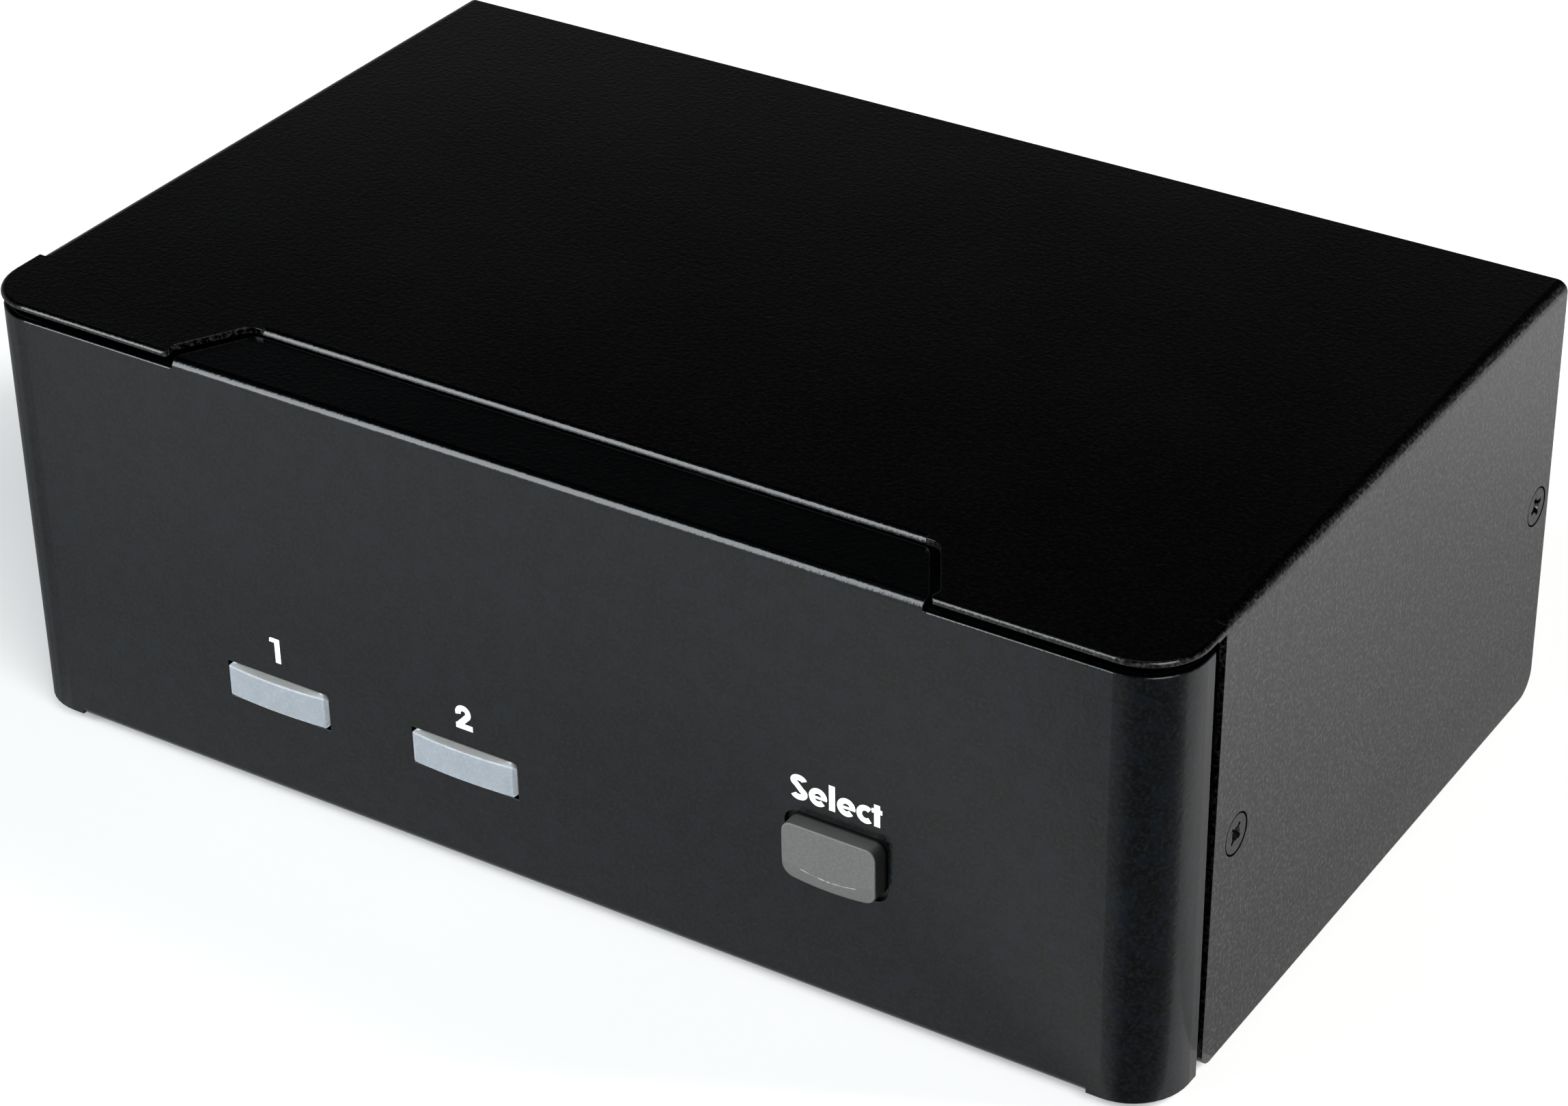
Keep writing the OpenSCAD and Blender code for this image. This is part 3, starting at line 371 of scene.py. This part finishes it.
# material, bevel width in millimetres, nodes
FINISH = (
    (COVER, 0.0, ("top_cover",)),
    (CHASSIS, 0.0, ("chassis", "rear_panel")),
    (SCREW, 0.07, ("cover_screws", "rear_panel_screws")),
    (RUBBER, 0.3, ("rubber_feet",)),
    (BUTTON, 0.22, ("select_button",)),
    (BLACK, 0.1, ("switch_plunger", "select_switch", "board_header", "stack_socket",
                  "stack_plug", "usb_a_tongues", "dc_jack", "buzzer")),
    (WHITE, 0.1, ("button_guide", "usb_b_tongues")),
    (WHITE, 0.06, ("dvi_inserts",)),
    (BLUE, 0.05, ("vga_inserts",)),
    (GREEN, 0.12, ("speaker_jacks",)),
    (PINK, 0.12, ("microphone_jacks",)),
    (BOARD, 0.0, ("front_board", "main_board", "video_board")),
    (FILM, 0.0, ("insulating_sheet",)),
    (ZINC, 0.06, ("front_board_screws", "lower_standoffs", "board_screws", "jackscrews")),
    (ZINC, 0.0, ("dc_jack_pin",)),
    (BRASS, 0.08, ("upper_standoffs",)),
    (SHELL, 0.1, ("dvi_port_console", "dvi_port_1", "dvi_port_2", "vga_port_console",
                  "vga_port_1", "vga_port_2", "usb_a_ports_hub", "usb_a_ports_console",
                  "usb_b_port_1", "usb_b_port_2")),
    (SHELL, 0.0, ("crystals",)),
    (LAMP, 0.0, ("status_leds",)),
    (RESIN, 0.0, ("video_chips", "usb_hub_chip")),
    (ANODISED, 0.1, ("heat_sink",)),
    (SLEEVE, 0.3, ("capacitors",)),
    (FERRITE, 0.2, ("power_inductor",)),
)


def bevelled(obj, width, sharp):
    """Rounds edges sharper than sharp degrees, width millimetres wide."""
    bevel = obj.modifiers.new("edges", "BEVEL")
    bevel.width = width * MM
    bevel.segments = 2
    bevel.limit_method = "ANGLE"
    bevel.angle_limit = math.radians(sharp)
    bevel.use_clamp_overlap = False
    bevel.harden_normals = True
    return bevel


def round_edges(obj, width):
    """Closes the seams between the CAD faces, then rounds every sharp edge."""
    weld = obj.modifiers.new("weld", "WELD")
    weld.merge_threshold = WELD
    flat = obj.modifiers.new("flat", "DECIMATE")
    flat.decimate_type = "DISSOLVE"
    flat.angle_limit = math.radians(1)
    bevelled(obj, width, 35).loop_slide = False


for material, width, names in FINISH:
    for name in names:
        NODES[name].material_slots[0].material = material
        if width:
            round_edges(NODES[name], width)


# ------------------------------------------------------------------ new pieces

def placed(name, data):
    """A new object in the scene that shows data."""
    obj = bpy.data.objects.new(name, data)
    bpy.context.scene.collection.objects.link(obj)
    return obj


def piece(name, material, bm):
    """A new piece of the case; every added piece rides on that body."""
    mesh = bpy.data.meshes.new(name)
    bm.normal_update()
    bm.to_mesh(mesh)
    bm.free()
    mesh.materials.append(material)
    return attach(placed(name, mesh), "case")


def arc(x, z, rx, rz, start, end, steps=20):
    """Points of an elliptical arc, angles in degrees from +X towards +Z."""
    return [(x + rx * math.cos(math.radians(start + (end - start) * i / steps)),
             z + rz * math.sin(math.radians(start + (end - start) * i / steps)))
            for i in range(steps + 1)]


def stroke(path, half):
    """The outline of a pen stroke along path."""
    points = [Vector(p) for p in path]
    left, right = [], []
    for i, p in enumerate(points):
        before = (p - points[i - 1]).normalized() if i else None
        after = (points[i + 1] - p).normalized() if i + 1 < len(points) else None
        way = ((before or after) + (after or before)).normalized()
        out = Vector((-way.y, way.x)) * half / max(0.5, way.dot(after or before))
        left.append(p + out)
        right.append(p - out)
    return right + left[::-1]


def bar(x0, x1, z0, z1):
    return [Vector(p) for p in ((x0, z0), (x1, z0), (x1, z1), (x0, z1))]


# Each character is a list of outlines in millimetres, from its own lower left corner
GLYPHS = {
    "1": [[Vector(p) for p in ((0.95, 0), (1.92, 0), (1.92, 4.25), (0.22, 4.25), (0.06, 4.1),
                               (0, 3.5), (0.95, 3.5))]],
    "2": [stroke(arc(1.38, 2.77, 0.9, 0.86, 200, -32) + [(0.55, 0.62)], 0.48),
          bar(0.02, 2.98, 0, 0.93),
          [Vector(p) for p in ((0.02, 0), (1.2, 0), (1.4, 0.93), (0.9, 0.93), (0.22, 0.93))]],
    "S": [stroke(arc(1.40, 3.07, 0.88, 0.57, 12, 236) + arc(1.38, 1.06, 0.92, 0.62, 58, -160),
                 0.47)],
    "e": [stroke(arc(1.45, 1.43, 1.03, 1.05, -4, 318, 28), 0.44), bar(0.9, 2.88, 1.17, 1.6)],
    "l": [bar(0, 0.97, 0, 4.15)],
    "c": [stroke(arc(1.45, 1.43, 1.03, 1.05, 50, 311, 24), 0.44)],
    "t": [bar(0.38, 1.33, 0, 3.6), bar(0, 1.68, 2.17, 2.9)],
}


def printed(name, outlines, corner, across, out):
    """Ink on a flat face: outlines are joined into one layer that grows by out along Y, and
    corner is where (0, 0) goes. across is +1 for print read from the front, -1 from behind."""
    verts, faces = [], []
    for outline in outlines:
        faces.append(list(range(len(verts), len(verts) + len(outline))))
        verts += outline
    co, _, filled, _, _, origin = delaunay_2d_cdt(verts, [], faces, 0, 1e-5)
    bm = bmesh.new()
    made = [bm.verts.new((corner.x + across * p.x * MM, corner.y, corner.z + p.y * MM))
            for p in co]
    for face, came in zip(filled, origin):
        if came:
            bm.faces.new([made[i] for i in face])
    loose = [v for v in bm.verts if not v.link_faces]
    bmesh.ops.delete(bm, geom=loose, context="VERTS")
    grown = bmesh.ops.extrude_face_region(bm, geom=bm.faces[:])["geom"]
    for v in grown:
        if isinstance(v, bmesh.types.BMVert):
            v.co.y += out
    bmesh.ops.recalc_face_normals(bm, faces=bm.faces)
    return piece(name, WHITE_INK, bm)


def moved(outlines, x, z):
    return [[p + Vector((x, z)) for p in outline] for outline in outlines]


def over(node, x, z):
    """A point on the front panel, x and z millimetres from the middle of a node."""
    middle = middle_of(node)
    return Vector((middle.x + x * MM, front_y + OFF_PANEL, middle.z + z * MM))


printed("print_1", GLYPHS["1"], over("led_window_1", -1.0, 5.8), 1, -INK)
printed("print_2", GLYPHS["2"], over("led_window_2", -1.15, 5.95), 1, -INK)
word = []
for letter, x in zip("Select", (0, 3.0, 6.22, 7.53, 10.62, 13.03)):
    word += moved(GLYPHS[letter], x, 0)
printed("print_select", word, over("select_button", -7.3, 7.5), 1, -INK)


def lamp_window(node, bow):
    """A CAD window whose proud face is bowed: it stands out fully in the middle, and by the
    share bow less at its ends."""
    low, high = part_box(node)
    middle = (low.x + high.x) / 2
    half = (high.x - low.x) / 2 - WINDOW_LIP
    bm = bmesh.new()
    bm.from_mesh(NODES[node].data)
    bmesh.ops.remove_doubles(bm, verts=bm.verts[:], dist=WELD)
    bmesh.ops.dissolve_limit(bm, angle_limit=math.radians(1), verts=bm.verts[:],
                             edges=bm.edges[:])
    for i in range(-9, 10):
        bmesh.ops.bisect_plane(bm, geom=bm.verts[:] + bm.edges[:] + bm.faces[:], dist=CUT,
                               plane_co=(middle + half * i / 10, 0, 0), plane_no=(1, 0, 0))
    for v in bm.verts:
        if v.co.y < front_y:
            v.co.y = front_y + (v.co.y - front_y) * (1 - bow * ((v.co.x - middle) / half) ** 2)
    for face in bm.faces:
        face.smooth = True
    obj = piece(node + "_lens", WINDOW, bm)
    obj.data.set_sharp_from_angle(angle=math.radians(25))
    bevelled(obj, WINDOW_BEVEL, 25)
    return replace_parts(obj, node)


for name in ("led_window_1", "led_window_2"):
    lamp_window(name, 0.5)


def skin(bm, rings):
    """Faces between each ring of points and the next."""
    for one, two in zip(rings, rings[1:]):
        for i in range(len(one)):
            bm.faces.new((one[i - 1], one[i], two[i], two[i - 1]))


def contacts(name, ports, inserts, places, half, sides):
    """Gold contacts with sides faces, half millimetres in radius, sunk in the holes of the
    sockets' inserts. places are their middles from each socket's middle."""
    low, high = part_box(inserts)
    turn = [math.tau * (i + 0.5) / sides for i in range(sides)]
    bm = bmesh.new()
    for port in ports:
        for x, z in places:
            spot = Vector((middle_of(port).x + x * MM, high.y, (low.z + high.z) / 2 + z * MM))
            rings = []
            for r, depth in ((half, 2.9), (half, 0.75), (0.62 * half, 0.7), (0.5 * half, 1.6)):
                rings.append([
                    bm.verts.new(spot + MM * Vector((r * math.cos(a), -depth, r * math.sin(a))))
                    for a in turn])
            skin(bm, rings)
            bm.faces.new(rings[-1])
            bm.faces.new(rings[0])
    bmesh.ops.recalc_face_normals(bm, faces=bm.faces)
    return piece(name, GOLD, bm)


def screw_rings_painted_shade():
    """A black ring of painted shade in the gap round each countersunk head in the sides of the
    cover.
    """
    bm = bmesh.new()
    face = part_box("cover_screws")[1].x + 0.04 * MM
    turn = [math.tau * i / 48 for i in range(48)]
    for side in (-1, 1):
        for y in COVER_SCREW_Y:
            rings = []
            for r, depth in ((2.97, 0.4), (2.98, 0), (3.24, 0), (3.24, 0.1)):
                rings.append([
                    bm.verts.new((side * (face - depth * MM), (y + r * math.cos(a)) * MM,
                                  (COVER_SCREW_Z + r * math.sin(a)) * MM))
                    for a in turn])
            skin(bm, rings + rings[:1])
    bmesh.ops.recalc_face_normals(bm, faces=bm.faces)
    return piece("screw_rings_painted_shade", gap_painted_shade("screw_gap_painted_shade"), bm)


# A ring of painted shade round each cover screw
screw_rings_painted_shade()
contacts("dvi_contacts", ("dvi_port_console", "dvi_port_1", "dvi_port_2"), "dvi_inserts",
         [(10 - 1.9 * column, 1.9 * row) for column in range(8) for row in (-1, 0, 1)], 0.5, 4)
contacts("vga_contacts", ("vga_port_console", "vga_port_1", "vga_port_2"), "vga_inserts",
         [(2.29 * (column + row / 4), 1.98 * row)
          for column in range(-2, 3) for row in (-1, 0, 1)], 0.5, 8)

# Behind, a bar over each computer's sockets carries its number
rear_face = Vector((0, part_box("rear_panel")[1].y + OFF_PANEL, 0))
for numeral, first, last in (("1", "dvi_port_1", "usb_b_port_1"),
                             ("2", "dvi_port_2", "usb_b_port_2")):
    start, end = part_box(first)[0].x / MM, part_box(last)[1].x / MM
    middle = (start + end) / 2
    printed("print_rear_" + numeral,
            moved(GLYPHS[numeral], -middle - 1.3, 34)
            + [bar(-end, -middle - 4, 35.8, 36.3), bar(-middle + 4, -start, 35.8, 36.3),
               bar(-end, -end + 0.5, 33, 36.3), bar(-start - 0.5, -start, 33, 36.3)],
            rear_face, -1, INK)


# ------------------------------------------------------- floor, light and camera

FLOOR_HALF = 4
FLOOR_TONE = 0.6
# To the camera the floor glows a little, so that it fades into the backdrop
FLOOR_GLOW = 0.2
# Cards lie this far above the floor
CARD_HEIGHT = 0.0004
CASE_MIDDLE = Vector((0, 0, 0.03))
# The case's lower front corners, left and right, where the flags start
RIGHT_CORNER = Vector((0.0935, -0.0615))
LEFT_CORNER = Vector((-0.0935, -0.0615))
FLAG_REACH = 0.6
FLAG_STEPS = 8
# The strips beside the case's right side run from STRIP_Y[0] to STRIP_Y[1]
STRIP_X = 0.1004
STRIP_Y = (-0.045, 0.2)
STRIP_WIDTH = 0.01


def matt(name, tone):
    """A plain grey material and its shader."""
    material = bpy.data.materials.new(name)
    material.use_nodes = True
    shader = material.node_tree.nodes["Principled BSDF"]
    shader.inputs["Base Color"].default_value = (tone, tone, tone, 1)
    return material, shader


def arithmetic(tree):
    """A function that adds a Math node to tree; its values are numbers or sockets."""
    def maths(operation, *values):
        node = tree.nodes.new("ShaderNodeMath")
        node.operation = operation
        for value, socket in zip(values, node.inputs):
            if isinstance(value, (int, float)):
                socket.default_value = value
            else:
                tree.links.new(value, socket)
        return node.outputs["Value"]
    return maths


def floor():
    mesh = bpy.data.meshes.new("floor")
    bm = bmesh.new()
    bmesh.ops.create_grid(bm, x_segments=1, y_segments=1, size=FLOOR_HALF)
    bm.to_mesh(mesh)
    bm.free()
    material, shader = matt("pale_floor", FLOOR_TONE)
    shader.inputs["Roughness"].default_value = 0.9
    shader.inputs["Specular IOR Level"].default_value = 0.1
    tree = material.node_tree
    seen = tree.nodes.new("ShaderNodeLightPath").outputs["Is Camera Ray"]
    glow = arithmetic(tree)("MULTIPLY", seen, FLOOR_GLOW)
    tree.links.new(glow, shader.inputs["Emission Strength"])
    shader.inputs["Emission Color"].default_value = (1, 1, 1, 1)
    mesh.materials.append(material)
    placed("floor", mesh)


def bearing(azimuth, elevation):
    """The direction at azimuth degrees from -Y towards +X, and elevation degrees up."""
    a, e = math.radians(azimuth), math.radians(elevation)
    return Vector((math.sin(a) * math.cos(e), -math.cos(a) * math.cos(e), math.sin(e)))


def softbox(name, azimuth, elevation, distance, width, height, radiance, colour=(1, 1, 1),
            mirrored=True):
    """A plain softbox, width by height metres, that faces the case. Glossy surfaces mirror it
    unless mirrored is False."""
    data = bpy.data.lights.new(name, "AREA")
    data.shape = "RECTANGLE"
    data.size, data.size_y = width, height
    data.energy = radiance * math.pi * width * height
    data.color = colour
    obj = placed(name, data)
    towards = bearing(azimuth, elevation)
    obj.location = CASE_MIDDLE + distance * towards
    obj.rotation_mode = "QUATERNION"
    obj.rotation_quaternion = (-towards).to_track_quat("-Z", "Y")
    obj.visible_glossy = mirrored


def card(outline, tone):
    """A card on the floor that only reflections see. A low tone is dark."""
    mesh = bpy.data.meshes.new("card")
    mesh.from_pydata([(x, y, CARD_HEIGHT) for x, y in outline], [],
                     [list(range(len(outline)))])
    material, shader = matt("dark_card", tone)
    shader.inputs["Specular IOR Level"].default_value = 0
    mesh.materials.append(material)
    obj = placed("card", mesh)
    obj.visible_camera = obj.visible_diffuse = obj.visible_shadow = False
    obj.visible_transmission = obj.visible_volume_scatter = False


def flag(corner, start, end, tone):
    """A wedge-shaped card that fans out from a corner of the case between two bearings, in
    degrees from -Y towards +X. It darkens what the corner's round bend reflects."""
    rim = [math.radians(start + (end - start) * i / FLAG_STEPS) for i in range(FLAG_STEPS + 1)]
    card([corner[:]] + [(corner.x + FLAG_REACH * math.sin(a), corner.y - FLAG_REACH * math.cos(a))
                        for a in rim], tone)


def shade_strip(x, tone):
    """A dark strip along the right side of the case that only reflections see, a painted shadow
    for the shade that a case casts beside it.
    """
    near, far = STRIP_Y
    card([(x, near), (x + STRIP_WIDTH, near), (x + STRIP_WIDTH, far), (x, far)], tone)


floor()
for start, end, tone in ((-31, -25, 0.5), (-25, -18, 0.41), (-18, -10, 0.32), (-10, -1, 0.24),
                         (-1, 10, 0.17), (10, 66, 0.12), (66, 86, 0.14), (86, 96, 0.2),
                         (96, 104, 0.3)):
    flag(RIGHT_CORNER, start, end, tone)
for start, end, tone in ((-160, -85, 0.18), (-85, -60, 0.3), (-60, -46, 0.42)):
    flag(LEFT_CORNER, start, end, tone)
for step in range(6):
    shade_strip(STRIP_X + STRIP_WIDTH * step, 0.385 + 0.048 * step)
softbox("front_left_box", -35.5, 28, 2.0, 0.8, 1.75, 14, (0.92, 0.97, 1.0))
softbox("front_right_box", 59, 38, 2.4, 1.3, 1.3, 10.5, (1.0, 0.99, 0.97))
softbox("rear_right_box", 120, 30, 2.1, 0.6, 1.2, 26, mirrored=False)


# The surround is as bright as SKY up to about a height of FADE_FROM, 1 being straight up, and
# then fades at the rate FADE
SKY = 0.25
FADE_FROM = 0.25
FADE = 17
# Above OVERHEAD_FROM it brightens again in reflections
OVERHEAD_FROM = 0.88
OVERHEAD = 4


def studio():
    """The camera sees a white backdrop. Everything else sees it fade from the horizon upwards,
    and reflections also see a soft light straight overhead."""
    world = bpy.data.worlds.new("studio")
    world.use_nodes = True
    tree = world.node_tree
    maths = arithmetic(tree)
    surround = tree.nodes["Background"]
    surround.inputs["Color"].default_value = (0.95, 0.97, 1.0, 1)
    way = tree.nodes.new("ShaderNodeTexCoord").outputs["Generated"]
    parts = tree.nodes.new("ShaderNodeSeparateXYZ")
    tree.links.new(way, parts.inputs["Vector"])
    height = parts.outputs["Z"]
    ray = tree.nodes.new("ShaderNodeLightPath").outputs
    fade = maths("POWER", math.e, maths("MULTIPLY", maths("SUBTRACT", height, FADE_FROM), -FADE))
    overhead = maths("MULTIPLY", maths("SUBTRACT", height, OVERHEAD_FROM), OVERHEAD)
    overhead = maths("MULTIPLY", maths("MAXIMUM", overhead, 0), ray["Is Glossy Ray"])
    surround_light = maths("MAXIMUM", maths("MINIMUM", fade, SKY), overhead)
    strength = maths("MAXIMUM", surround_light, ray["Is Camera Ray"])
    tree.links.new(strength, surround.inputs["Strength"])
    bpy.context.scene.world = world


studio()

TARGET = Vector((0.0030, -0.0031, 0.0291))
AZIMUTH, ELEVATION, ROLL = 32.98, 31.70, -1.007
DISTANCE = 0.6239
camera = bpy.data.cameras.new("camera")
camera.sensor_width = 36
camera.lens = 94.0
camera.clip_start, camera.clip_end = 0.01, 20
back = bearing(AZIMUTH, ELEVATION)
eye = placed("camera", camera)
eye.location = TARGET + back * DISTANCE
eye.rotation_mode = "QUATERNION"
roll = Quaternion((0, 0, 1), math.radians(ROLL))
eye.rotation_quaternion = (-back).to_track_quat("-Z", "Y") @ roll
bpy.context.scene.camera = eye
bpy.context.scene.view_settings.view_transform = "Standard"
